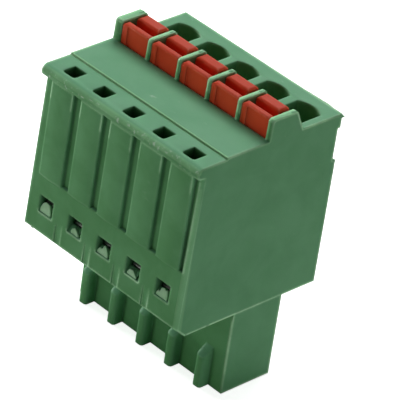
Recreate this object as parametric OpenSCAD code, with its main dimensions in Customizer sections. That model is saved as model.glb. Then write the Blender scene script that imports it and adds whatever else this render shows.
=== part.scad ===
// Pluggable spring-clamp terminal block with push buttons, five poles.
// Lengths in millimetres. X runs along the poles, -Y is the test-hole side, +Z is up.
// The plug face stands on z = 0 and the outline is centred on x = 0, y = 0.

/* [Poles] */
// Number of poles in the row
poles = 5; // [5:5]
// Distance from one pole to the next
pitch = 2.5; // [2.5:0.01:2.6]
// Left face to the first pole centre line
margin_left = 1.66; // [1.6:0.01:1.8]
// Last pole centre line to the right face
margin_right = 1.48; // [1.42:0.01:1.7]

/* [Housing] */
// Depth of the body from the nose of the ledge to the back face
body_d = 11.26; // [11.1:0.02:11.8]
// Height of the plug under the body
plug_h = 5.64; // [5.2:0.05:6.2]
// Height of the flat top surface above the mating face
top_z = 17.14; // [16.9:0.05:17.8]
// Height of the thin walls above the top surface
wall_h = 1.35; // [1.2:0.05:1.5]
// Thickness of the plug from front to back
plug_d = 3.86; // [3.8:0.02:4.2]
// Distance from the nose to the front of the plug
plug_y = 4.83; // [4.7:0.02:4.9]
// Inset of the plug at the left end
plug_inset = 0.7; // [0.5:0.05:0.72]
// Thickness of the overhanging ledge
ledge_t = 0.8; // [0.7:0.05:0.9]
// Set-back of the front wall under the ledge
wall_back = 0.42; // [0.38:0.01:0.46]
// Width of the slots that hold the buttons
slot_w = 2.22; // [2.16:0.01:2.26]

/* [Columns and windows] */
// Width of a rounded column over a test channel
column_w = 1.9; // [1.8:0.02:1.94]
// Height of the column ends above the body underside
column_z = 4.43; // [4.1:0.05:4.8]
// Width of a latch window
window_w = 1.16; // [1.1:0.02:1.2]
// Height of a latch window
window_h = 1.12; // [1.05:0.02:1.2]
// Window sill above the body underside
window_z = 2.0; // [1.9:0.05:2.1]
// Side of a square test hole
test_w = 1.0; // [0.94:0.02:1.04]

/* [Wire entries] */
// Width of a wire entry at the top
entry_w = 1.9; // [1.84:0.02:1.96]
// Radius of the round throat under the entry
throat_r = 0.8; // [0.76:0.01:0.84]

/* [Buttons] */
// Travel of a button
travel = 1.0; // [0.8:0.05:1.1]
// Running clearance around a button
run = 0.04; // [0.03:0.01:0.06]
// Depth of a button head from front to back
button_d = 1.95; // [1.9:0.01:1.98]
// Length cut from the right end of the rear blade
blade_cut = 0.32; // [0.2:0.02:0.4]
// Width of the screwdriver slot
driver_w = 0.57; // [0.5:0.01:0.6]
// Depth of the screwdriver slot
driver_h = 1.1; // [0.9:0.05:1.2]

/* [Contacts and springs] */
// Sheet thickness of the contacts
sheet_t = 0.3; // [0.26:0.01:0.32]
// Strip thickness of the clamp springs
spring_t = 0.2; // [0.17:0.01:0.22]
// Width of a clamp spring
spring_w = 1.6; // [1.5:0.02:1.64]

/* [Hidden] */
$fn = 48;

body_w = margin_left + (poles - 1) * pitch + margin_right;
wall_top = top_z + wall_h;
ledge_z = top_z - ledge_t;
step_y = 2.16;
step_h = 0.1;
nose_low_r = 0.28;
nose_r = min(0.4, ledge_t - step_h - nose_low_r - 0.02);
over = 0.5;

// front wall line: leans out towards the underside
front_low_z = plug_h + 0.74;
front_low_y = 0.02;
foot_y = 0.87;
side_strip = 0.25;
corner_r = 0.23;

// back face
lip_d = 0.06;
recess_d = 0.25;
lip_h = 0.92;
recess_top = top_z - lip_h;
recess_h = 2.19;
recess_low = recess_top - recess_h;

// columns
column_end = plug_h + column_z;
// columns stand proud of the wall, lean with it and are slightly convex
column_top_y = 0.14;
column_crown = 0.08;
column_r = 0.2;
column_arc = (column_w * column_w / 4 + column_crown * column_crown) / (2 * column_crown);
column_lean = atan(column_top_y / (ledge_z - column_end));
wall_lean = atan((wall_back - front_low_y) / (ledge_z - front_low_z));
groove_d = 0.38;
relief_w = 0.5;
relief_d = 0.06;

// button slots
slot_y = 5.43;
slot_d = button_d + 2 * run;
slot_depth = 2.5;
slot_floor = top_z - slot_depth;
stem_w = 1.6;
stem_d = 1.52;
throat_gap = run;
blade_y = 0.53;
blade_r = 0.23;
head_r = 0.24;
head_drop = 0.04;
shoulder_t = 1.2;
roof_z = slot_floor - shoulder_t;
toe_d = 0.5;
toe_h = 1.0;
wall_foot_back = 8.03;
wall_head_back = 7.41;

// chamber
floor_z = plug_h + 1.56;
chamber_w = 2.0;
chamber_y = 3.3;
chamber_back = 10.2;
front_w = 1.24;
front_y = 0.6;
test_y = 0.49;

// ramp in the window sill
ramp_h = 0.38;
ramp_y = 0.16;
ramp_gap = 0.3;

// wire entry
entry_front = 8.35;
entry_side = 9.96;
entry_sag = 0.33;
entry_r = (entry_w * entry_w / 4 + entry_sag * entry_sag) / (2 * entry_sag);
entry_depth = 1.7;
entry_straight = 1.0;
entry_cone = 0.6;
throat_y = 9.25;

// plug inside
pin_w = 1.2;
pin_lip = 0.9;
socket_w = 1.9;
socket_y = plug_y + 0.45;
socket_d = plug_d - 0.9;
pin_y = plug_y + plug_d / 2;
rib_w = 0.64;
rib_d = 0.74;
rib_r = 0.2;
rib_h = 2.1;
rib_rise = 0.55;

// contact
contact_w = 1.1;
clear = 0.04;
riser_y = 1.45;
back_riser_y = chamber_back - clear - sheet_t;
leaf_low = 1.3;
leaf_gap = 0.5;
back_riser_h = 3.4;
riser_h = 2.2;
flange_d = 0.7;
pad_d = 4.2;

// spring
spring_base = floor_z + sheet_t;
loop_r = 1.4;
loop_y = 6.0;
stem_down = 2.05;
foot_z = roof_z - stem_down;
loop_z = foot_z - 0.02 - loop_r;
tip_z = spring_base + 0.8;

function pole_x(i) = margin_left + i * pitch;

module framed() translate([-body_w / 2, -body_d / 2, 0]) children();

// draws a side-view outline as a slab from x0, w wide
module slab(x0, w) translate([x0, 0, 0]) rotate([90, 0, 90]) linear_extrude(w) children();

module block(x, y, z, dx, dy, dz) translate([x, y, z]) cube([dx, dy, dz]);

module body_side() difference() {
    union() {
        polygon([
            [front_low_y, front_low_z], [foot_y, plug_h], [body_d, plug_h],
            [body_d, recess_low], [body_d - recess_d, recess_low],
            [body_d - recess_d, recess_top], [body_d - lip_d, recess_top],
            [body_d - lip_d, top_z], [step_y, top_z], [step_y, top_z - step_h],
            [nose_r, top_z - step_h], [nose_r, ledge_z + nose_low_r], [nose_low_r, ledge_z + nose_low_r],
            [nose_low_r, ledge_z], [wall_back, ledge_z]]);
        translate([nose_r, top_z - step_h - nose_r]) circle(r = nose_r);
        translate([nose_low_r, ledge_z + nose_low_r]) circle(r = nose_low_r);
        translate([0, ledge_z + nose_low_r]) square([nose_r, ledge_t - step_h - nose_low_r - nose_r]);
    }
}

module thin_wall_side() polygon([
    [slot_y - 0.05, top_z - over], [slot_y + 0.03, wall_top - 0.12], [slot_y + 0.15, wall_top],
    [wall_head_back - 0.1, wall_top], [wall_head_back, wall_top - 0.05],
    [wall_foot_back, top_z], [wall_foot_back, top_z - over]]);

module column() translate([0, column_top_y, ledge_z]) rotate([-column_lean, 0, 0])
    translate([0, 0, column_end - ledge_z]) {
        h = ledge_z - column_end + nose_low_r;
        intersection() {
            union() {
                translate([-column_w / 2, column_r, 0]) cube([column_w, groove_d + 0.3 - column_r, h]);
                translate([-column_w / 2 + column_r, 0, 0]) cube([column_w - 2 * column_r, groove_d, h]);
                for (s = [-1, 1]) translate([s * (column_w / 2 - column_r), column_r, 0]) cylinder(r = column_r, h = h);
            }
            translate([0, column_arc, -1]) cylinder(r = column_arc, h = h + 2, $fn = 180);
        }
    }

// rounds an upright front corner of the leaning wall; s is the side it is on
module corner_cut(s) translate([0, wall_back, ledge_z]) rotate([-wall_lean, 0, 0])
    translate([0, 0, plug_h - ledge_z]) difference() {
        translate([s < 0 ? -over : -corner_r, -over, 0]) cube([corner_r + over, corner_r + over, ledge_z - plug_h - 0.02]);
        translate([-s * corner_r, corner_r, -1]) cylinder(r = corner_r, h = ledge_z - plug_h + 1);
    }

module groove(w) translate([0, column_top_y + groove_d, ledge_z]) rotate([-column_lean, 0, 0])
    translate([0, -2, column_end - ledge_z]) cube([w, 2, ledge_z - column_end - 0.001]);

module rib() intersection() {
    union() {
        translate([-rib_w / 2, plug_y - rib_d + rib_r, 0]) cube([rib_w, rib_d, plug_h]);
        translate([-rib_w / 2 + rib_r, plug_y - rib_d, 0]) cube([rib_w - 2 * rib_r, rib_d, plug_h]);
        for (s = [-1, 1]) translate([s * (rib_w / 2 - rib_r), plug_y - rib_d + rib_r, 0])
            cylinder(r = rib_r, h = plug_h);
    }
    slab(-rib_w, 2 * rib_w) polygon([
        [plug_y - 2 * rib_d, 0], [plug_y + rib_d, 0], [plug_y + rib_d, rib_h + 2 * rib_rise],
        [plug_y - rib_d, rib_h], [plug_y - 2 * rib_d, rib_h]]);
}

module entry() {
    translate([0, 0, top_z - entry_straight]) linear_extrude(entry_straight + over) entry_outline();
    intersection() {
        translate([0, 0, top_z - entry_depth]) linear_extrude(entry_depth) entry_outline();
        translate([0, throat_y, top_z - entry_depth])
            cylinder(r1 = throat_r, r2 = throat_r + entry_cone * (entry_depth - entry_straight + 0.1), h = entry_depth - entry_straight + 0.1);
    }
    translate([0, throat_y, roof_z - 0.1]) cylinder(r = throat_r, h = top_z - entry_depth - roof_z + 0.15);
}

module entry_outline() intersection() {
    translate([-entry_w / 2, entry_front]) square([entry_w, entry_side + entry_sag - entry_front]);
    translate([0, entry_side + entry_sag - entry_r]) circle(r = entry_r, $fn = 64);
}

module test_hole() {
    block(-test_w / 2, test_y + 0.2, floor_z + 1, test_w, test_w - 0.2, top_z - floor_z);
    block(-test_w / 2 + 0.2, test_y, floor_z + 1, test_w - 0.4, test_w, top_z - floor_z);
    for (s = [-1, 1]) translate([s * (test_w / 2 - 0.2), test_y + 0.2, floor_z + 1])
        cylinder(r = 0.2, h = top_z - floor_z);
}

module cell() {
    // button slot, stem throat and spring chamber
    block(-slot_w / 2, slot_y, slot_floor, slot_w, slot_d, wall_top);
    block(-stem_w / 2 - throat_gap, slot_y, roof_z - over, stem_w + 2 * throat_gap, stem_d + 2 * throat_gap, over + 2);
    block(-chamber_w / 2, chamber_y, floor_z, chamber_w, chamber_back - chamber_y, roof_z - floor_z);
    // contact channel to the front, with the latch window
    block(-front_w / 2, front_y, floor_z, front_w, chamber_y - front_y + 0.1, riser_h + clear);
    block(-window_w / 2, -over, plug_h + window_z + ramp_h, window_w, front_y + over + 0.1, window_h - ramp_h);
    slab(-window_w / 2, window_w - ramp_gap) polygon([
        [-over, plug_h + window_z], [ramp_y, plug_h + window_z], [front_y - 0.1, plug_h + window_z + ramp_h],
        [front_y - 0.1, plug_h + window_z + ramp_h + 0.05], [-over, plug_h + window_z + ramp_h + 0.05]]);
    block(window_w / 2 - ramp_gap, -over, plug_h + window_z, ramp_gap, front_y + over + 0.1, ramp_h + 0.05);
    test_hole();
    // socket in the plug
    block(-socket_w / 2, socket_y, pin_lip, socket_w, socket_d, floor_z - pin_lip + 0.1);
    block(-pin_w / 2, pin_y - pin_w / 2, -0.1, pin_w, pin_w, pin_lip + 0.2);
    // lead-in around the pin hole
    translate([0, pin_y, 0]) intersection() {
        slab(-pin_w, 2 * pin_w) lead_in();
        rotate([0, 0, 90]) slab(-pin_w, 2 * pin_w) lead_in();
    }
}

module lead_in() polygon([
    [-pin_w / 2 - 0.25, -0.05], [pin_w / 2 + 0.25, -0.05],
    [pin_w / 2, 0.2], [pin_w / 2, 0.3], [-pin_w / 2, 0.3], [-pin_w / 2, 0.2]]);

module housing() color([0.30, 0.50, 0.33]) framed() difference() {
    union() {
        difference() {
            slab(0, body_w) body_side();
            for (i = [0 : poles - 2]) translate([pole_x(i) + column_w / 2, 0, 0]) groove(pitch - column_w);
            translate([pole_x(poles - 1) + column_w / 2, 0, 0]) groove(margin_right - column_w / 2 - side_strip);
            corner_cut(-1);
            translate([body_w, 0, 0]) corner_cut(1);
            for (i = [0 : poles - 2])
                block(pole_x(i) + pitch / 2 - relief_w / 2, -over, plug_h, relief_w, over + front_low_y + relief_d, column_end - plug_h);
        }
        // side walls reach lower behind the rounded front corners
        for (x = [0, body_w - side_strip]) slab(x, side_strip)
            polygon([[corner_r + 0.1, front_low_z + 0.3], [corner_r + 0.1, front_low_z], [corner_r + 0.2, plug_h + 0.42],
                [foot_y, plug_h], [foot_y + 0.5, plug_h + 0.5]]);
        for (i = [0 : poles - 1]) translate([pole_x(i), 0, 0]) column();
        // thin walls beside the buttons
        slab(0, pole_x(0) - slot_w / 2) thin_wall_side();
        for (i = [0 : poles - 2]) slab(pole_x(i) + slot_w / 2, pitch - slot_w) thin_wall_side();
        slab(pole_x(poles - 1) + slot_w / 2, margin_right - slot_w / 2) thin_wall_side();
        // plug with its keying ribs
        block(plug_inset, plug_y, 0, body_w - plug_inset - 0.06, plug_d, plug_h + over);
        for (i = [0 : poles - 1]) translate([pole_x(i), 0, 0]) rib();
    }
    for (i = [0 : poles - 1]) translate([pole_x(i), 0, 0]) { cell(); entry(); }
}

module button_side() {
    r = blade_r;
    y0 = slot_y + run;
    y1 = y0 + button_d;
    f1 = y0 + blade_y;
    b0 = f1 + driver_w;
    top = wall_top - head_drop;
    low = slot_floor + travel + 0.05;
    // head, split by the screwdriver slot
    translate([y0, low]) square([y1 - y0, top - driver_h - low]);
    for (a = [[y0, f1], [b0, y1]]) {
        translate([a[0], top - driver_h - 0.1]) square([a[1] - a[0], driver_h + 0.1 - r]);
        translate([a[0] + r, top - r - 0.01]) square([a[1] - a[0] - 2 * r, r + 0.01]);
        translate([a[0] + r, top - r]) circle(r = r);
        translate([a[1] - r, top - r]) circle(r = r);
    }
}

module button(i) color([0.72, 0.22, 0.13]) framed() translate([pole_x(i), 0, 0]) {
    w = slot_w - 2 * run;
    difference() {
        union() {
            slab(-w / 2, w) button_side();
            // stem and the toe that keeps it in
            block(-stem_w / 2, slot_y + run, foot_z, stem_w, stem_d, slot_floor + travel + 0.3 - foot_z);
            block(-stem_w / 2, slot_y + run - toe_d, roof_z - 0.05 - toe_h, stem_w, toe_d + 0.3, toe_h);
        }
        // the broad front face stands back from its left edge
        block(-w / 2 + 0.42, slot_y - 0.3, slot_floor, w, 0.3 + run + 0.05, wall_top);
        // the rear blade stops short of the right end
        block(w / 2 - blade_cut, slot_y + run + blade_y, wall_top - driver_h, blade_cut + 0.1, button_d, driver_h + 0.1);
        // rounded upper ends
        end_cut(-w / 2, -1, -0.1, button_d + 0.2);
        end_cut(w / 2, 1, -0.1, blade_y + 0.2);
        end_cut(w / 2 - blade_cut, 1, blade_y + 0.05, button_d);
    }
}

// rounds the upper corner of a blade at x; s is the side it is on
module end_cut(x, s, y, d) translate([x - s * head_r, slot_y + run + y, wall_top - head_drop - head_r]) rotate([-90, 0, 0]) difference() {
    translate([s < 0 ? -head_r - 0.1 : 0, -head_r - 0.1, 0]) cube([head_r + 0.1, head_r + 0.1, d]);
    translate([0, 0, -0.1]) cylinder(r = head_r, h = d + 0.2);
}
module button_1() button(0);
module button_2() button(1);
module button_3() button(2);
module button_4() button(3);
module button_5() button(4);

module spring_leg() {
    yf = loop_y - loop_r;
    polygon([
        [yf - flange_d, spring_base], [yf + spring_t, spring_base], [yf + spring_t, loop_z],
        [yf, loop_z], [yf, spring_base + spring_t], [yf - flange_d, spring_base + spring_t]]);
}

module spring_jaw() polygon([
    [loop_y + loop_r - spring_t, loop_z], [loop_y + loop_r, loop_z],
    [back_riser_y - clear, tip_z + spring_t], [back_riser_y - clear - 0.1, tip_z]]);

module clamp_spring(i) color([0.75, 0.76, 0.78]) framed() translate([pole_x(i), 0, 0]) {
    slab(-spring_w / 2, spring_w) spring_leg();
    slab(-spring_w / 2, spring_w) spring_jaw();
    translate([0, loop_y, loop_z]) rotate([0, 90, 0]) rotate([0, 0, 90])
        rotate_extrude(angle = 180, $fn = 72) translate([loop_r - spring_t, -spring_w / 2]) square([spring_t, spring_w]);
}
module clamp_spring_1() clamp_spring(0);
module clamp_spring_2() clamp_spring(1);
module clamp_spring_3() clamp_spring(2);
module clamp_spring_4() clamp_spring(3);
module clamp_spring_5() clamp_spring(4);

module contact_side() {
    sill = plug_h + window_z;
    // base bar, back clamping wall and front riser
    translate([riser_y, floor_z]) square([back_riser_y + sheet_t - riser_y, sheet_t]);
    translate([back_riser_y, floor_z]) square([sheet_t, back_riser_h]);
    translate([riser_y, floor_z]) square([sheet_t, riser_h]);
    // lance that latches in the window
    polygon([
        [riser_y + 0.01, sill + 0.95], [riser_y + 0.01, sill + 0.7],
        [front_y + 0.1, sill + ramp_h - 0.1], [front_y + 0.02, sill + ramp_h + 0.1]]);
}

module contact(i) color([0.80, 0.80, 0.78]) framed() translate([pole_x(i), 0, 0]) {
    slab(-contact_w / 2, contact_w) contact_side();
    // broad middle of the bar and the two pin leaves
    block(-spring_w / 2, loop_y - loop_r - flange_d - clear, floor_z, spring_w, pad_d, sheet_t);
    for (s = [-1, 1]) {
        slab(-0.5, 1.0) polygon([
            [pin_y + s * (socket_d / 2 - clear), floor_z + sheet_t],
            [pin_y + s * (socket_d / 2 - clear - 0.25), floor_z + sheet_t],
            [pin_y + s * (leaf_gap / 2), leaf_low + 1.0],
            [pin_y + s * (leaf_gap / 2 + 0.2), leaf_low],
            [pin_y + s * (leaf_gap / 2 + 0.4), leaf_low],
            [pin_y + s * (leaf_gap / 2 + 0.25), leaf_low + 1.0]]);
    }
}
module contact_1() contact(0);
module contact_2() contact(1);
module contact_3() contact(2);
module contact_4() contact(3);
module contact_5() contact(4);

housing();
button_1();
button_2();
button_3();
button_4();
button_5();
clamp_spring_1();
clamp_spring_2();
clamp_spring_3();
clamp_spring_4();
clamp_spring_5();
contact_1();
contact_2();
contact_3();
contact_4();
contact_5();
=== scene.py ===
import math
import random

import bmesh
import bpy
from mathutils import Matrix, Vector


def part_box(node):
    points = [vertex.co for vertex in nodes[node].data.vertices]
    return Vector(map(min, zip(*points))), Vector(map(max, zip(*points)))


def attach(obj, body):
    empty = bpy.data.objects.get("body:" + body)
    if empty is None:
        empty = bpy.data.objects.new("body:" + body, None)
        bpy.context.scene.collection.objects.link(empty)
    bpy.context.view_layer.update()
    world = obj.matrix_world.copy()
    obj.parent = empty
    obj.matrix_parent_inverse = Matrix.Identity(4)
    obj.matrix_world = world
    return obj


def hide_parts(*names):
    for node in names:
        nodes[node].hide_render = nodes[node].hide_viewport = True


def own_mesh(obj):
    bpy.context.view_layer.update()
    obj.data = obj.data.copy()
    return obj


mm = 0.001
poleCount = 5

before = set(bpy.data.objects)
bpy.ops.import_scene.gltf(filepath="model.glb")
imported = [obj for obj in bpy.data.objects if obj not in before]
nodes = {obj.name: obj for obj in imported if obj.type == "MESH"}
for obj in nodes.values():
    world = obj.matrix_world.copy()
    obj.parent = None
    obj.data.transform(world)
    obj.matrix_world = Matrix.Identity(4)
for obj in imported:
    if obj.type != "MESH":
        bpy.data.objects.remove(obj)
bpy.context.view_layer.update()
print("frame loaded", len(nodes), "nodes")


def srgb(r, g, b):
    # screen colour 0..255 to a linear colour
    def one(c):
        c /= 255
        return c / 12.92 if c <= 0.04045 else ((c + 0.055) / 1.055) ** 2.4

    return (one(r), one(g), one(b), 1.0)


def newGroup(name, inputs, outputs):
    group = bpy.data.node_groups.new(name, "ShaderNodeTree")
    for label, kind, value in inputs:
        socket = group.interface.new_socket(name=label, in_out="INPUT", socket_type=kind)
        socket.default_value = value
    for label, kind in outputs:
        group.interface.new_socket(name=label, in_out="OUTPUT", socket_type=kind)
    start = group.nodes.new("NodeGroupInput")
    end = group.nodes.new("NodeGroupOutput")
    return group, start, end


def setInputs(tree, node, values):
    # each input is a constant or another node's socket
    for key, value in values.items():
        if isinstance(value, bpy.types.NodeSocket):
            tree.links.new(value, node.inputs[key])
        else:
            node.inputs[key].default_value = value


def add(tree, kind, settings=None, inputs=None):
    node = tree.nodes.new(kind)
    for key, value in (settings or {}).items():
        setattr(node, key, value)
    setInputs(tree, node, inputs or {})
    return node


def maths(tree, operation, a, b=0.0, clamp=False):
    return add(tree, "ShaderNodeMath", {"operation": operation, "use_clamp": clamp}, {0: a, 1: b}).outputs[0]


def times(tree, a, b, clamp=False):
    return maths(tree, "MULTIPLY", a, b, clamp)


def larger(tree, a, b, clamp=False):
    return maths(tree, "MAXIMUM", a, b, clamp)


def remap(tree, value, low, high, toLow=0.0, toHigh=1.0):
    node = add(tree, "ShaderNodeMapRange", {"interpolation_type": "SMOOTHSTEP"},
               {"Value": value, "From Min": low, "From Max": high, "To Min": toLow, "To Max": toHigh})
    return node.outputs["Result"]


def band(tree, value, edges, levels=(0.0, 1.0)):
    # a soft step between two places in millimetres
    return remap(tree, value, edges[0] * mm, edges[1] * mm, *levels)


def mixColour(tree, factor, a, b):
    return add(tree, "ShaderNodeMix", {"data_type": "RGBA"}, {0: factor, 6: a, 7: b}).outputs[2]


def noise(tree, place, scale, detail, roughness=0.5, distortion=0.0):
    node = add(tree, "ShaderNodeTexNoise", {}, {
        "Vector": place, "Scale": scale, "Detail": detail, "Roughness": roughness, "Distortion": distortion})
    return node.outputs["Fac"]


grainSettings = {
    "fine": 1000.0, "fineDetail": 3.0, "fineRough": 0.6,
    "broad": 1000.0, "broadDetail": 4.0, "broadRough": 0.55, "broadTwist": 0.4,
    "speck": 8000.0, "speckDetail": 5.0, "speckRough": 0.7, "speckBand": (0.57, 0.66),
}


def grainGroup():
    # fine mould texture, broad cloudiness and small specks of a moulded surface
    s = grainSettings
    group, start, end = newGroup(
        "mouldGrain",
        [("Coordinates", "NodeSocketVector", (0, 0, 0)), ("Grain Size", "NodeSocketFloat", 0.08),
         ("Cloud Size", "NodeSocketFloat", 2.0)],
        [("Height", "NodeSocketFloat"), ("Cloud", "NodeSocketFloat"), ("Speck", "NodeSocketFloat")])
    place = start.outputs["Coordinates"]
    grainSize = start.outputs["Grain Size"]
    cloudSize = start.outputs["Cloud Size"]
    fineScale = maths(group, "DIVIDE", s["fine"], grainSize)
    broadScale = maths(group, "DIVIDE", s["broad"], cloudSize)
    speckScale = maths(group, "DIVIDE", s["speck"], cloudSize)
    fine = noise(group, place, fineScale, s["fineDetail"], s["fineRough"])
    broad = noise(group, place, broadScale, s["broadDetail"], s["broadRough"], s["broadTwist"])
    speck = noise(group, place, speckScale, s["speckDetail"], s["speckRough"])
    group.links.new(fine, end.inputs["Height"])
    group.links.new(broad, end.inputs["Cloud"])
    group.links.new(remap(group, speck, *s["speckBand"]), end.inputs["Speck"])
    return group


edgeSettings = {
    "samples": 8, "bend": (0.9998, 0.985), "openReach": 3.0, "open": (0.82, 0.96),
    "deepSamples": 10, "deep": (0.62, 0.1), "upward": (0.3, 0.95), "sideways": 0.45,
}


def edgeGroup():
    # worn outer edges with a painted highlight, painted shade in inner corners, and painted facing light on
    # upward and sideways faces
    s = edgeSettings
    group, start, end = newGroup(
        "edgeWearAndPaintedLight",
        [("Radius", "NodeSocketFloat", 0.08), ("Breakup", "NodeSocketFloat", 0.5),
         ("Noise", "NodeSocketFloat", 0.5), ("Reach", "NodeSocketFloat", 1.0)],
        [("Edge", "NodeSocketFloat"), ("Crease Shade", "NodeSocketFloat"), ("Painted Facing Light", "NodeSocketFloat"),
         ("Normal", "NodeSocketVector")])
    radius = times(group, start.outputs["Radius"], mm)
    bevel = add(group, "ShaderNodeBevel", {"samples": s["samples"]}, {"Radius": radius})
    geometry = add(group, "ShaderNodeNewGeometry")
    dot = add(group, "ShaderNodeVectorMath", {"operation": "DOT_PRODUCT"},
              {0: bevel.outputs["Normal"], 1: geometry.outputs["Normal"]})
    bend = remap(group, dot.outputs["Value"], *s["bend"])
    openness = add(group, "ShaderNodeAmbientOcclusion", {"samples": s["samples"], "only_local": True},
                   {"Distance": times(group, radius, s["openReach"])})
    outer = remap(group, openness.outputs["AO"], *s["open"])
    gone = times(group, start.outputs["Noise"], start.outputs["Breakup"])
    whole = maths(group, "SUBTRACT", 1.0, gone, clamp=True)
    # worn outer edge with a painted highlight, where the bevel normal bends away
    edge = times(group, times(group, bend, outer), whole, clamp=True)
    # painted shade in inner corners and hollows, by ambient occlusion
    deep = add(group, "ShaderNodeAmbientOcclusion", {"samples": s["deepSamples"], "only_local": True},
               {"Distance": times(group, start.outputs["Reach"], mm)})
    # painted facing light: upward faces most, sideways faces less
    facing = add(group, "ShaderNodeSeparateXYZ", {}, {0: geometry.outputs["Normal"]})
    sideways = times(group, maths(group, "ABSOLUTE", facing.outputs["X"]), s["sideways"])
    paintedFacingLight = larger(group, remap(group, facing.outputs["Z"], *s["upward"]), sideways)
    group.links.new(paintedFacingLight, end.inputs["Painted Facing Light"])
    group.links.new(edge, end.inputs["Edge"])
    group.links.new(remap(group, deep.outputs["AO"], *s["deep"]), end.inputs["Crease Shade"])
    group.links.new(bevel.outputs["Normal"], end.inputs["Normal"])
    return group


scuffSettings = {
    "stretch": (0.22, 1.0, 1.0), "turn": (0, 0, 0.35),
    "lines": 2600.0, "linesDetail": 5.0, "linesRough": 0.7, "linesBand": (0.6, 0.68),
    "patches": 700.0, "patchesDetail": 2.0, "patchFrom": 0.75, "patchShift": 0.3, "patchTo": 0.8,
}


def scuffGroup():
    # short pale scratches, kept where the area mask is high
    s = scuffSettings
    group, start, end = newGroup(
        "scuffs",
        [("Coordinates", "NodeSocketVector", (0, 0, 0)), ("Area", "NodeSocketFloat", 1.0),
         ("Length", "NodeSocketFloat", 0.5), ("Amount", "NodeSocketFloat", 0.5)],
        [("Mask", "NodeSocketFloat")])
    place = start.outputs["Coordinates"]
    length = start.outputs["Length"]
    stretched = add(group, "ShaderNodeMapping", {},
                    {"Vector": place, "Scale": s["stretch"], "Rotation": s["turn"]})
    lineScale = maths(group, "DIVIDE", s["lines"], length)
    patchScale = maths(group, "DIVIDE", s["patches"], length)
    lines = noise(group, stretched.outputs["Vector"], lineScale, s["linesDetail"], s["linesRough"])
    where = noise(group, place, patchScale, s["patchesDetail"])
    thin = remap(group, lines, *s["linesBand"])
    shift = times(group, start.outputs["Amount"], s["patchShift"])
    patch = remap(group, where, maths(group, "SUBTRACT", s["patchFrom"], shift), s["patchTo"])
    mask = times(group, times(group, thin, patch), start.outputs["Area"], clamp=True)
    group.links.new(mask, end.inputs["Mask"])
    return group


rolledSettings = {
    "stretch": (1.0, 0.06, 0.06), "lines": 1000.0, "linesDetail": 3.0,
    "patches": 1600.0, "patchesDetail": 4.0, "dull": (0.45, 0.65),
}


def metalGroup():
    # rolling lines and dull patches of plated strip
    s = rolledSettings
    group, start, end = newGroup(
        "rolledMetal",
        [("Coordinates", "NodeSocketVector", (0, 0, 0)), ("Line Size", "NodeSocketFloat", 0.05)],
        [("Height", "NodeSocketFloat"), ("Dull", "NodeSocketFloat")])
    place = start.outputs["Coordinates"]
    lined = add(group, "ShaderNodeMapping", {}, {"Vector": place, "Scale": s["stretch"]})
    lineScale = maths(group, "DIVIDE", s["lines"], start.outputs["Line Size"])
    rolled = noise(group, lined.outputs["Vector"], lineScale, s["linesDetail"])
    patches = noise(group, place, s["patches"], s["patchesDetail"])
    group.links.new(rolled, end.inputs["Height"])
    group.links.new(remap(group, patches, *s["dull"]), end.inputs["Dull"])
    return group


mouldGrain = grainGroup()
edgeWearAndPaintedLight = edgeGroup()
scuffs = scuffGroup()
rolledMetal = metalGroup()


def useGroup(tree, group, inputs):
    return add(tree, "ShaderNodeGroup", {"node_tree": group}, inputs)


def newMaterial(name):
    material = bpy.data.materials.new(name)
    material.use_nodes = True
    tree = material.node_tree
    tree.nodes.clear()
    output = tree.nodes.new("ShaderNodeOutputMaterial")
    shader = tree.nodes.new("ShaderNodeBsdfPrincipled")
    tree.links.new(shader.outputs[0], output.inputs["Surface"])
    place = tree.nodes.new("ShaderNodeTexCoord").outputs["Object"]
    return material, tree, shader, place


# what all the plastics share
plasticFinish = {
    "cloudSize": 2.4, "cloudBand": (0.3, 0.7), "breakup": 0.7, "creaseShadeShare": 0.9,
    "plainArea": 0.25, "scuffLength": 0.6, "scuffAmount": 0.85, "speckFrom": 0.5,
    "smoother": 0.05, "rougher": 0.07, "scuffRough": 0.2, "scuffHeight": 2.0, "bumpDepth": 0.02, "ior": 1.5,
}

# the upward-face colour here is a painted sheen, the corner colour a painted shade, the edge colour pale wear
# with a painted highlight
greenPlastic = {
    "body": srgb(96, 156, 102), "cloud": srgb(86, 145, 90), "edge": srgb(188, 236, 188),
    "pale": srgb(158, 218, 160), "facingLightColour": srgb(112, 170, 138), "creaseShade": srgb(14, 52, 18),
    "scuff": srgb(222, 236, 222), "paintedFacingLight": 0.6, "roughness": 0.5, "shine": 0.12, "grain": 0.09, "bump": 0.05,
    "edgeRadius": 0.24, "reach": 1.6, "wearAndPaintedLight": 0.9,
    "glow": 0.12, "glowRadius": (0.4, 1.0, 0.4), "glowScale": 0.25,
}

# the corner colour here is a lighter painted shade
flashLook = {
    "body": srgb(106, 160, 112), "cloud": srgb(118, 172, 122), "creaseShade": srgb(70, 120, 74),
    "edgeRadius": 0.06,
}

# the latch ramps are painted much paler than the housing, a painted glow for light through the thin moulding
# inside the shaded windows
litRampLook = {
    "body": srgb(190, 234, 190), "cloud": srgb(168, 214, 166), "creaseShade": srgb(90, 140, 92),
    "edgeRadius": 0.06,
}

# the upward-face colour here is a darker painted shade, the corner colour a painted shade, the edge colour
# pale wear with a painted highlight
buttonPlastic = {
    "body": srgb(235, 82, 46), "cloud": srgb(222, 70, 36), "edge": srgb(236, 128, 98),
    "facingLightColour": srgb(184, 58, 32), "creaseShade": srgb(160, 18, 6), "scuff": srgb(232, 170, 150),
    "paintedFacingLight": 0.85, "roughness": 0.45, "shine": 0.12, "grain": 0.07, "bump": 0.05,
    "edgeRadius": 0.16, "reach": 0.8, "wearAndPaintedLight": 0.5,
    "glow": 0.25, "glowRadius": (1.0, 0.35, 0.2), "glowScale": 0.3,
}


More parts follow.
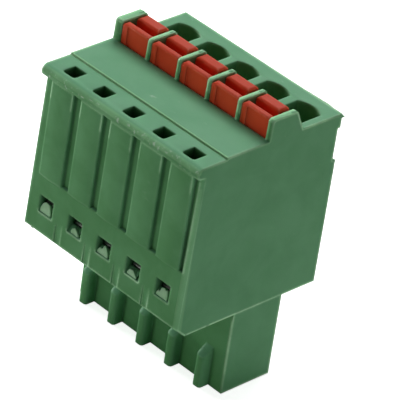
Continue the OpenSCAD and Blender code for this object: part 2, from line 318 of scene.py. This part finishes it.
def plasticMaterial(name, look, scuffArea=None, paleAndHighlightArea=None, edgeHighlightLimit=None):
    s = plasticFinish
    material, tree, shader, place = newMaterial(name)
    grain = useGroup(tree, mouldGrain, {
        "Coordinates": place, "Grain Size": look["grain"], "Cloud Size": s["cloudSize"]})
    cloudy = remap(tree, grain.outputs["Cloud"], *s["cloudBand"])
    wearAndPaintedLight = useGroup(tree, edgeWearAndPaintedLight, {
        "Radius": look["edgeRadius"], "Breakup": s["breakup"], "Noise": cloudy, "Reach": look["reach"]})
    colour = mixColour(tree, cloudy, look["body"], look["cloud"])
    # painted facing light: a paler sheen painted on upward and sideways faces of the green, a darker shade
    # painted on those of the orange
    colour = mixColour(tree, times(tree, wearAndPaintedLight.outputs["Painted Facing Light"], look["paintedFacingLight"]), colour, look["facingLightColour"])
    # painted shade: inner corners and hollows darkened towards the corner colour
    colour = mixColour(tree, times(tree, wearAndPaintedLight.outputs["Crease Shade"], s["creaseShadeShare"]), colour, look["creaseShade"])
    # pale worn edges with a painted highlight: the edge mask mixes in the paler edge colour
    wornEdgeHighlight = times(tree, wearAndPaintedLight.outputs["Edge"], look["wearAndPaintedLight"])
    if edgeHighlightLimit:
        wornEdgeHighlight = times(tree, wornEdgeHighlight, edgeHighlightLimit(tree, place))
    colour = mixColour(tree, wornEdgeHighlight, colour, look["edge"])
    # paler colour painted on the wall tops, and a painted highlight on the nose, the step line and the right
    # front corner
    if paleAndHighlightArea:
        colour = mixColour(tree, paleAndHighlightArea(tree, place, cloudy), colour, look["pale"])
    area = scuffArea(tree, place) if scuffArea else s["plainArea"]
    marks = useGroup(tree, scuffs, {
        "Coordinates": place, "Area": area, "Length": s["scuffLength"], "Amount": s["scuffAmount"]})
    scratched = marks.outputs["Mask"]
    scuffed = maths(tree, "SUBTRACT", area, s["speckFrom"], clamp=True)
    specks = times(tree, grain.outputs["Speck"], scuffed, clamp=True)
    colour = mixColour(tree, larger(tree, scratched, specks), colour, look["scuff"])
    patchy = remap(tree, grain.outputs["Cloud"], *s["cloudBand"],
                   look["roughness"] - s["smoother"], look["roughness"] + s["rougher"])
    rough = maths(tree, "ADD", patchy, times(tree, scratched, s["scuffRough"]))
    height = maths(tree, "ADD", grain.outputs["Height"], times(tree, scratched, s["scuffHeight"]))
    bump = add(tree, "ShaderNodeBump", {}, {
        "Strength": look["bump"], "Distance": s["bumpDepth"] * mm, "Height": height,
        "Normal": wearAndPaintedLight.outputs["Normal"]})
    setInputs(tree, shader, {
        "Base Color": colour, "Roughness": rough, "Normal": bump.outputs["Normal"],
        "IOR": s["ior"], "Specular IOR Level": look["shine"],
        "Subsurface Weight": look["glow"], "Subsurface Radius": look["glowRadius"],
        "Subsurface Scale": look["glowScale"] * mm})
    return material


ledgeSettings = {
    "front": (-5.3, -5.55), "rim": (16.3, 16.6), "deck": (17.0, 17.03), "deckLevels": (0.08, 0.5),
}


def ledgeArea(tree, place):
    # scuffs gather on the front edge of the ledge, a few on the top
    s = ledgeSettings
    split = add(tree, "ShaderNodeSeparateXYZ", {}, {0: place})
    front = band(tree, split.outputs["Y"], s["front"])
    high = band(tree, split.outputs["Z"], s["rim"])
    deck = band(tree, split.outputs["Z"], s["deck"], s["deckLevels"])
    return larger(tree, times(tree, front, high), deck, clamp=True)


crestSettings = {
    "top": (18.36, 18.46), "topLevels": (0.35, 0.1),
    "right": (6.33, 6.42), "front": (-5.02, -5.2), "under": (15.8, 15.5), "corner": 0.28,
    "nose": (-5.36, -5.5), "noseTop": (16.64, 16.74), "noseLevels": (0.6, 0.3),
    "ahead": (-3.58, -3.5), "behind": (-3.34, -3.4), "deck": (17.0, 17.03), "ridge": 0.75,
}


def paleTopsAndHighlights(tree, place, cloudy):
    # the wall tops are painted paler, and a painted highlight runs along the nose, the step line and the
    # right front corner
    s = crestSettings
    split = add(tree, "ShaderNodeSeparateXYZ", {}, {0: place})
    across, along, up = (split.outputs[k] for k in "XYZ")
    topFade = remap(tree, cloudy, 0.0, 1.0, *s["topLevels"])
    crest = times(tree, band(tree, up, s["top"]), topFade, clamp=True)
    sideFront = times(tree, band(tree, across, s["right"]), band(tree, along, s["front"]))
    corner = times(tree, sideFront, times(tree, band(tree, up, s["under"]), s["corner"]))
    nose = times(tree, band(tree, along, s["nose"]), band(tree, up, s["noseTop"]))
    noseFade = remap(tree, cloudy, 0.0, 1.0, *s["noseLevels"])
    stepLine = times(tree, band(tree, along, s["ahead"]), band(tree, along, s["behind"]))
    ridge = times(tree, stepLine, band(tree, up, s["deck"]))
    lines = larger(tree, times(tree, nose, noseFade), times(tree, ridge, s["ridge"]))
    return larger(tree, larger(tree, crest, corner), lines)


edgeHighlightLimitSettings = {
    "front": (-4.2, -4.5), "above": (7.6, 7.9), "below": (15.3, 15.0),
    "ends": (6.35, 6.25), "faces": (5.35, 5.2), "top": (17.7, 17.5), "share": 0.9,
}


def edgeHighlightLimitArea(tree, place):
    # edges away from the outside of the block, and under the ledge, get little wear and little painted
    # highlight
    s = edgeHighlightLimitSettings
    split = add(tree, "ShaderNodeSeparateXYZ", {}, {0: place})
    across, along, up = (split.outputs[k] for k in "XYZ")
    raised = times(tree, band(tree, along, s["front"]), band(tree, up, s["above"]))
    columns = times(tree, raised, band(tree, up, s["below"]))
    ends = band(tree, maths(tree, "ABSOLUTE", across), s["ends"])
    faces = band(tree, maths(tree, "ABSOLUTE", along), s["faces"])
    middle = times(tree, times(tree, ends, faces), band(tree, up, s["top"]))
    inside = larger(tree, times(tree, columns, ends), middle)
    return maths(tree, "SUBTRACT", 1.0, times(tree, inside, s["share"]), clamp=True)


# the last value sets how far the painted shade in hollows darkens the metal
springLook = {"colour": srgb(205, 206, 208), "dull": srgb(168, 170, 172), "roughness": 0.24, "shadeDepth": 0.0}
contactLook = {"colour": srgb(222, 222, 216), "dull": srgb(190, 190, 184), "roughness": 0.34, "shadeDepth": 0.85}

# what both metals share
metalFinish = {
    "lineSize": 0.05, "bump": 0.12, "bumpDepth": 0.01, "samples": 6, "reach": 2.0, "hollowShade": (0.6, 0.2),
    "shade": srgb(24, 30, 24), "rougher": 0.18,
}


def metalMaterial(name, look):
    s = metalFinish
    material, tree, shader, place = newMaterial(name)
    rolled = useGroup(tree, rolledMetal, {"Coordinates": place, "Line Size": s["lineSize"]})
    bump = add(tree, "ShaderNodeBump", {}, {
        "Strength": s["bump"], "Distance": s["bumpDepth"] * mm, "Height": rolled.outputs["Height"]})
    # painted shade: the plated colour darkens towards the shade colour in hollows, by ambient occlusion
    hollowShade = add(tree, "ShaderNodeAmbientOcclusion", {"samples": s["samples"]}, {"Distance": s["reach"] * mm})
    paintedShade = remap(tree, hollowShade.outputs["AO"], *s["hollowShade"], 0.0, look["shadeDepth"])
    plated = mixColour(tree, rolled.outputs["Dull"], look["colour"], look["dull"])
    rough = remap(tree, rolled.outputs["Dull"], 0.0, 1.0, look["roughness"], look["roughness"] + s["rougher"])
    setInputs(tree, shader, {
        "Base Color": mixColour(tree, paintedShade, plated, s["shade"]), "Metallic": 1.0,
        "Roughness": rough, "Normal": bump.outputs["Normal"]})
    return material


housingMaterial = plasticMaterial("greenPolyamide", greenPlastic, ledgeArea, paleTopsAndHighlights, edgeHighlightLimitArea)
buttonMaterial = plasticMaterial("orangePolyamide", buttonPlastic)
flashMaterial = plasticMaterial("greenFlash", {**greenPlastic, **flashLook})
litRampMaterial = plasticMaterial("greenRampPaintedGlow", {**greenPlastic, **litRampLook})
springMaterial = metalMaterial("springSteel", springLook)
contactMaterial = metalMaterial("tinPlate", contactLook)
print("materials made")


dressSettings = {
    "housing": 0.045, "button": 0.07, "contact": 0.03,
    "weld": 0.0008, "flatDegrees": 0.6, "sharpDegrees": 28, "segments": 2, "weight": 80,
}


def dress(obj, material, bevelWidth, triangles=False):
    # seams welded, flat faces joined, arrises broken by a small bevel
    s = dressSettings
    obj.data.materials.clear()
    obj.data.materials.append(material)
    weld = obj.modifiers.new("weld", "WELD")
    weld.merge_threshold = s["weld"] * mm
    flat = obj.modifiers.new("flat", "DECIMATE")
    flat.decimate_type = "DISSOLVE"
    flat.angle_limit = math.radians(s["flatDegrees"])
    if triangles:
        obj.modifiers.new("triangles", "TRIANGULATE")
    bevel = obj.modifiers.new("bevel", "BEVEL")
    bevel.width = bevelWidth * mm
    bevel.segments = s["segments"]
    bevel.limit_method = "ANGLE"
    bevel.angle_limit = math.radians(s["sharpDegrees"])
    bevel.use_clamp_overlap = True
    level = obj.modifiers.new("level", "WEIGHTED_NORMAL")
    level.weight = s["weight"]
    obj.data.shade_smooth()


dress(nodes["housing"], housingMaterial, dressSettings["housing"], triangles=True)
for pole in range(1, poleCount + 1):
    dress(nodes[f"button_{pole}"], buttonMaterial, dressSettings["button"])
    dress(nodes[f"contact_{pole}"], contactMaterial, dressSettings["contact"])
print("CAD nodes dressed")

poleCentre = {}
for pole in range(1, poleCount + 1):
    low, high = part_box(f"clamp_spring_{pole}")
    poleCentre[pole] = (low[0] + high[0]) / 2 / mm


def skinRings(mesh, rings):
    # four-sided rings joined in a row, both ends closed
    for a, b in zip(rings, rings[1:]):
        for k in range(4):
            mesh.faces.new((a[k], a[(k + 1) % 4], b[(k + 1) % 4], b[k]))
    mesh.faces.new(rings[0])
    mesh.faces.new(list(reversed(rings[-1])))
    bmesh.ops.recalc_face_normals(mesh, faces=mesh.faces)


def placeMesh(name, mesh, material):
    data = bpy.data.meshes.new(name)
    mesh.to_mesh(data)
    mesh.free()
    data.materials.append(material)
    obj = bpy.data.objects.new(name, data)
    bpy.context.scene.collection.objects.link(obj)
    return obj


def softenEdges(obj, width):
    soften = obj.modifiers.new("edges", "BEVEL")
    soften.width = width * mm
    soften.segments = 2
    return soften


springShape = {
    "thickness": 0.2, "width": 1.56, "base": 7.5, "loopRadius": 1.4, "loopY": 0.37, "loopZ": 9.97,
    "flange": 0.7, "jaw": (4.15, 8.42), "travel": 1.0, "bend": 0.22,
    "loopSteps": 16, "loopShare": 0.93, "round": 0.03,
}


def roundedPath(points, radius, steps=6):
    # straight runs joined by small arcs, none taking over 0.45 of a run
    path = [points[0]]
    for before, corner, after in zip(points, points[1:], points[2:]):
        inward = (before - corner).normalized()
        outward = (after - corner).normalized()
        half = inward.angle(outward) / 2
        back = min(radius / math.tan(half), (before - corner).length * 0.45, (after - corner).length * 0.45)
        a = corner + inward * back
        b = corner + outward * back
        for step in range(steps + 1):
            t = step / steps
            path.append(a * (1 - t) ** 2 + corner * 2 * t * (1 - t) + b * t ** 2)
    path.append(points[-1])
    return path


def springPath():
    # the flange at the foot, the front run, the loop over the top and the jaw
    s = springShape
    half = s["thickness"] / 2
    r = s["loopRadius"] - half
    front = s["loopY"] - r
    foot = s["base"] + half
    points = [Vector((front - s["flange"], foot)), Vector((front, foot)), Vector((front, s["loopZ"]))]
    path = roundedPath(points, s["bend"])
    for step in range(1, s["loopSteps"] + 1):
        angle = math.pi - math.pi * s["loopShare"] * step / s["loopSteps"]
        path.append(Vector((s["loopY"] + r * math.cos(angle), s["loopZ"] + r * math.sin(angle))))
    path.append(Vector(s["jaw"]))
    return path


def buildStrip(name, path, centre):
    # a bent strip: the path in Y and Z, given a thickness, drawn out along X
    s = springShape
    mesh = bmesh.new()
    rings = []
    for index, point in enumerate(path):
        before = path[max(index - 1, 0)]
        after = path[min(index + 1, len(path) - 1)]
        along = (after - before).normalized()
        normal = Vector((-along.y, along.x)) * s["thickness"] / 2
        ring = []
        for side, offset in ((-1, -1), (1, -1), (1, 1), (-1, 1)):
            p = point + normal * offset
            ring.append(mesh.verts.new(((centre + side * s["width"] / 2) * mm, p.x * mm, p.y * mm)))
        rings.append(ring)
    skinRings(mesh, rings)
    return placeMesh(name, mesh, springMaterial)


for pole in range(1, poleCount + 1):
    spring = buildStrip(f"spring_strip_{pole}", springPath(), poleCentre[pole])
    soften = softenEdges(spring, springShape["round"])
    soften.limit_method = "ANGLE"
    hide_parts(f"clamp_spring_{pole}")
    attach(spring, "block")
    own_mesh(spring)
print("springs built")


def finishMesh(name, mesh, material, roundWidth):
    # a small moulded piece of the block, its arrises softened
    obj = placeMesh(name, mesh, material)
    softenEdges(obj, roundWidth)
    obj.data.shade_smooth()
    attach(obj, "block")


windowRamps = {
    "front": -5.47, "back": -5.1, "sill": 7.6, "lean": 0.18, "backRise": 0.8, "round": 0.04,
    "outlines": [
        [(-0.56, 0.3), (-0.42, 0.62), (-0.2, 0.78), (0.08, 0.72), (0.22, 0.5), (0.34, 0.12)],
        [(-0.36, 0.12), (-0.3, 0.34), (-0.1, 0.46), (0.1, 0.34), (0.3, 0.12)],
        [(-0.56, 0.2), (-0.4, 0.42), (-0.22, 0.4), (-0.08, 0.7), (0.1, 0.56), (0.26, 0.3), (0.34, 0.12)],
        [(-0.5, 0.14), (-0.35, 0.4), (-0.1, 0.44), (0.1, 0.26), (0.28, 0.12)],
        [(-0.56, 0.2), (-0.42, 0.4), (-0.3, 0.32), (-0.24, 0.62), (0.0, 0.7), (0.12, 0.58), (0.24, 0.7),
         (0.36, 0.2)],
    ],
}


def buildRamp(pole, outline):
    # the torn latch ramp seen in a window, standing on the sill
    s = windowRamps
    mesh = bmesh.new()
    rings = []
    for across, rise in outline:
        x = poleCentre[pole] + across
        lean = s["lean"] * rise
        ring = [(x, s["front"], s["sill"]), (x, s["back"], s["sill"]),
                (x, s["back"], s["sill"] + rise * s["backRise"]), (x, s["front"] + lean, s["sill"] + rise)]
        rings.append([mesh.verts.new(Vector(v) * mm) for v in ring])
    skinRings(mesh, rings)
    finishMesh(f"latch_ramp_{pole}", mesh, litRampMaterial, s["round"])


for pole, outline in enumerate(windowRamps["outlines"], 1):
    buildRamp(pole, outline)
print("window ramps built")


# moulding flash: start, end, outward direction, base width, height
flashSeams = {
    "corner_tip": ((6.5, 5.3, 17.1), (6.5, 5.62, 16.86), (0.7, 0.7, 0.25), 0.2, 0.3),
    "back_rim": ((6.4, 5.6, 17.1), (3.6, 5.6, 17.12), (0, 0.5, 1), 0.08, 0.06),
    "left_foot": ((-6.55, -4.95, 5.8), (-6.35, -4.4, 5.66), (-0.6, -0.2, -1), 0.2, 0.22),
    "left_skirt": ((-6.5, -5.5, 6.5), (-6.5, -4.9, 5.8), (-1, -0.3, -0.2), 0.12, 0.12),
    "foot_nub": ((0.2, -4.74, 5.68), (0.55, -4.74, 5.66), (0, -0.6, -1), 0.14, 0.12),
    "foot_edge": ((0.9, -4.74, 5.68), (5.9, -4.74, 5.68), (0, -0.7, -0.7), 0.08, 0.05),
    "right_foot": ((6.35, -4.95, 5.86), (6.54, -4.55, 5.66), (0.3, -0.5, -1), 0.22, 0.16),
    "side_mark": ((6.55, -3.15, 5.7), (6.55, -2.75, 5.7), (1, 0, -0.3), 0.16, 0.09),
}

# the same on top of each wall: its X from the nearest pole, then Y and Z of its two ends
wallCrests = {
    "first": -1.35, "between": 1.25, "last": 1.34, "start": (1.25, 18.46), "end": (1.78, 18.44),
    "outward": (0, 0.2, 1), "base": 0.26, "height": 0.13,
}

flashForm = {
    "spacing": 0.16, "fewest": 4, "taper": 4, "least": 0.02, "uneven": (0.45, 1.0), "sunk": 0.03,
    "tipShare": 0.35, "round": 0.015, "seamSeed": 3, "crestSeed": 40,
}


def buildFlash(name, start, end, outward, base, height, seed):
    # a thin uneven fin, proud along a seam
    s = flashForm
    chance = random.Random(seed)
    start = Vector(start)
    end = Vector(end)
    outward = Vector(outward).normalized()
    along = (end - start).normalized()
    side = along.cross(outward).normalized() * base / 2
    narrow = side * s["tipShare"]
    count = max(s["fewest"], int((end - start).length / s["spacing"]))
    mesh = bmesh.new()
    rings = []
    for step in range(count + 1):
        t = step / count
        taper = min(1.0, s["taper"] * t, s["taper"] * (1 - t))
        tip = outward * (s["least"] + height * taper * chance.uniform(*s["uneven"]))
        spot = start.lerp(end, t) - outward * s["sunk"]
        ring = (spot - side, spot + side, spot + narrow + tip, spot - narrow + tip)
        rings.append([mesh.verts.new(v * mm) for v in ring])
    skinRings(mesh, rings)
    finishMesh(f"flash_{name}", mesh, flashMaterial, s["round"])


for order, (name, seam) in enumerate(flashSeams.items()):
    buildFlash(name, *seam, seed=order + flashForm["seamSeed"])

wallEnds = [poleCentre[1] + wallCrests["first"]]
wallEnds += [poleCentre[k] + wallCrests["between"] for k in range(1, poleCount)]
wallEnds += [poleCentre[poleCount] + wallCrests["last"]]
for order, x in enumerate(wallEnds, 1):
    buildFlash(f"crest_{order}", (x, *wallCrests["start"]), (x, *wallCrests["end"]), wallCrests["outward"],
               wallCrests["base"], wallCrests["height"], seed=order + flashForm["crestSeed"])
print("flash built")


floorLook = {"size": 2.0, "drop": 0.00002, "colour": srgb(246, 247, 247), "white": 0.84}


def floorMaterial():
    # matt, with a glow that only the camera sees, so the object's shadow stays
    material = bpy.data.materials.new("paleFloor")
    material.use_nodes = True
    tree = material.node_tree
    tree.nodes.clear()
    output = tree.nodes.new("ShaderNodeOutputMaterial")
    matt = add(tree, "ShaderNodeBsdfDiffuse", {}, {"Color": floorLook["colour"]})
    seen = tree.nodes.new("ShaderNodeLightPath")
    white = times(tree, seen.outputs["Is Camera Ray"], floorLook["white"])
    glow = add(tree, "ShaderNodeEmission", {}, {"Color": (1, 1, 1, 1), "Strength": white})
    both = add(tree, "ShaderNodeAddShader", {}, {0: matt.outputs[0], 1: glow.outputs[0]})
    tree.links.new(both.outputs[0], output.inputs["Surface"])
    return material


def buildFloor():
    mesh = bmesh.new()
    half = floorLook["size"] / 2
    corners = ((-1, -1), (1, -1), (1, 1), (-1, 1))
    mesh.faces.new([mesh.verts.new((x * half, y * half, -floorLook["drop"])) for x, y in corners])
    floor = placeMesh("floor", mesh, floorMaterial())


worldLook = {"light": 0.075, "seen": 1.0}


def buildWorld():
    # dim as a light, white where the camera or a reflection sees it
    world = bpy.data.worlds.new("studio")
    bpy.context.scene.world = world
    world.use_nodes = True
    tree = world.node_tree
    tree.nodes.clear()
    output = tree.nodes.new("ShaderNodeOutputWorld")
    ray = tree.nodes.new("ShaderNodeLightPath")
    mirrored = larger(tree, ray.outputs["Is Glossy Ray"], ray.outputs["Is Transmission Ray"])
    seen = larger(tree, ray.outputs["Is Camera Ray"], mirrored)
    level = add(tree, "ShaderNodeMapRange", {},
                {"Value": seen, "To Min": worldLook["light"], "To Max": worldLook["seen"]})
    back = add(tree, "ShaderNodeBackground", {}, {"Color": (1, 1, 1, 1), "Strength": level.outputs["Result"]})
    tree.links.new(back.outputs[0], output.inputs["Surface"])


lamps = {
    "key": {"spot": (-0.045, 0.075, 0.15), "aim": (0, 0, 0.010), "size": 0.10, "power": 0.205},
    "left": {"spot": (-0.20, -0.026, 0.05), "aim": (0, 0, 0.010), "size": 0.05, "power": 0.23},
    "right": {"spot": (0.19, 0.01, 0.005), "aim": (0, 0, 0.010), "size": 0.10, "power": 0.095},
    "low": {"spot": (-0.05, -0.18, 0.004), "aim": (0, 0, 0.003), "size": 0.06, "power": 0.07},
}


def areaLamp(name, spot, aim, size, power):
    data = bpy.data.lights.new(name, "AREA")
    data.shape = "SQUARE"
    data.size = size
    data.energy = power
    lamp = bpy.data.objects.new(name, data)
    lamp.location = spot
    lamp.rotation_mode = "QUATERNION"
    lamp.rotation_quaternion = (Vector(aim) - Vector(spot)).to_track_quat("-Z", "Y")
    bpy.context.scene.collection.objects.link(lamp)


cameraView = {
    "azimuth": 42.14, "elevation": 32.21, "roll": 8.85, "distance": 0.2120,
    "aim": (0.00084, 0.00112, 0.009625), "lens": 330.0, "sensor": 36.0, "clip": (0.01, 10.0),
}


def buildCamera():
    data = bpy.data.cameras.new("camera")
    data.sensor_width = cameraView["sensor"]
    data.lens = cameraView["lens"]
    data.clip_start, data.clip_end = cameraView["clip"]
    camera = bpy.data.objects.new("camera", data)
    turn, rise, roll = (math.radians(cameraView[k]) for k in ("azimuth", "elevation", "roll"))
    back = Vector((math.sin(turn) * math.cos(rise), -math.cos(turn) * math.cos(rise), math.sin(rise)))
    level = Vector((0, 0, 1)).cross(back).normalized()
    upright = back.cross(level)
    right = level * math.cos(roll) + upright * math.sin(roll)
    up = upright * math.cos(roll) - level * math.sin(roll)
    turned = Matrix((right, up, back)).transposed().to_4x4()
    spot = Vector(cameraView["aim"]) + back * cameraView["distance"]
    camera.matrix_world = Matrix.Translation(spot) @ turned
    bpy.context.scene.collection.objects.link(camera)
    bpy.context.scene.camera = camera


buildFloor()
buildWorld()
for name, lamp in lamps.items():
    areaLamp(name, **lamp)
buildCamera()
bpy.context.scene.view_settings.view_transform = "Standard"
print("stage set")
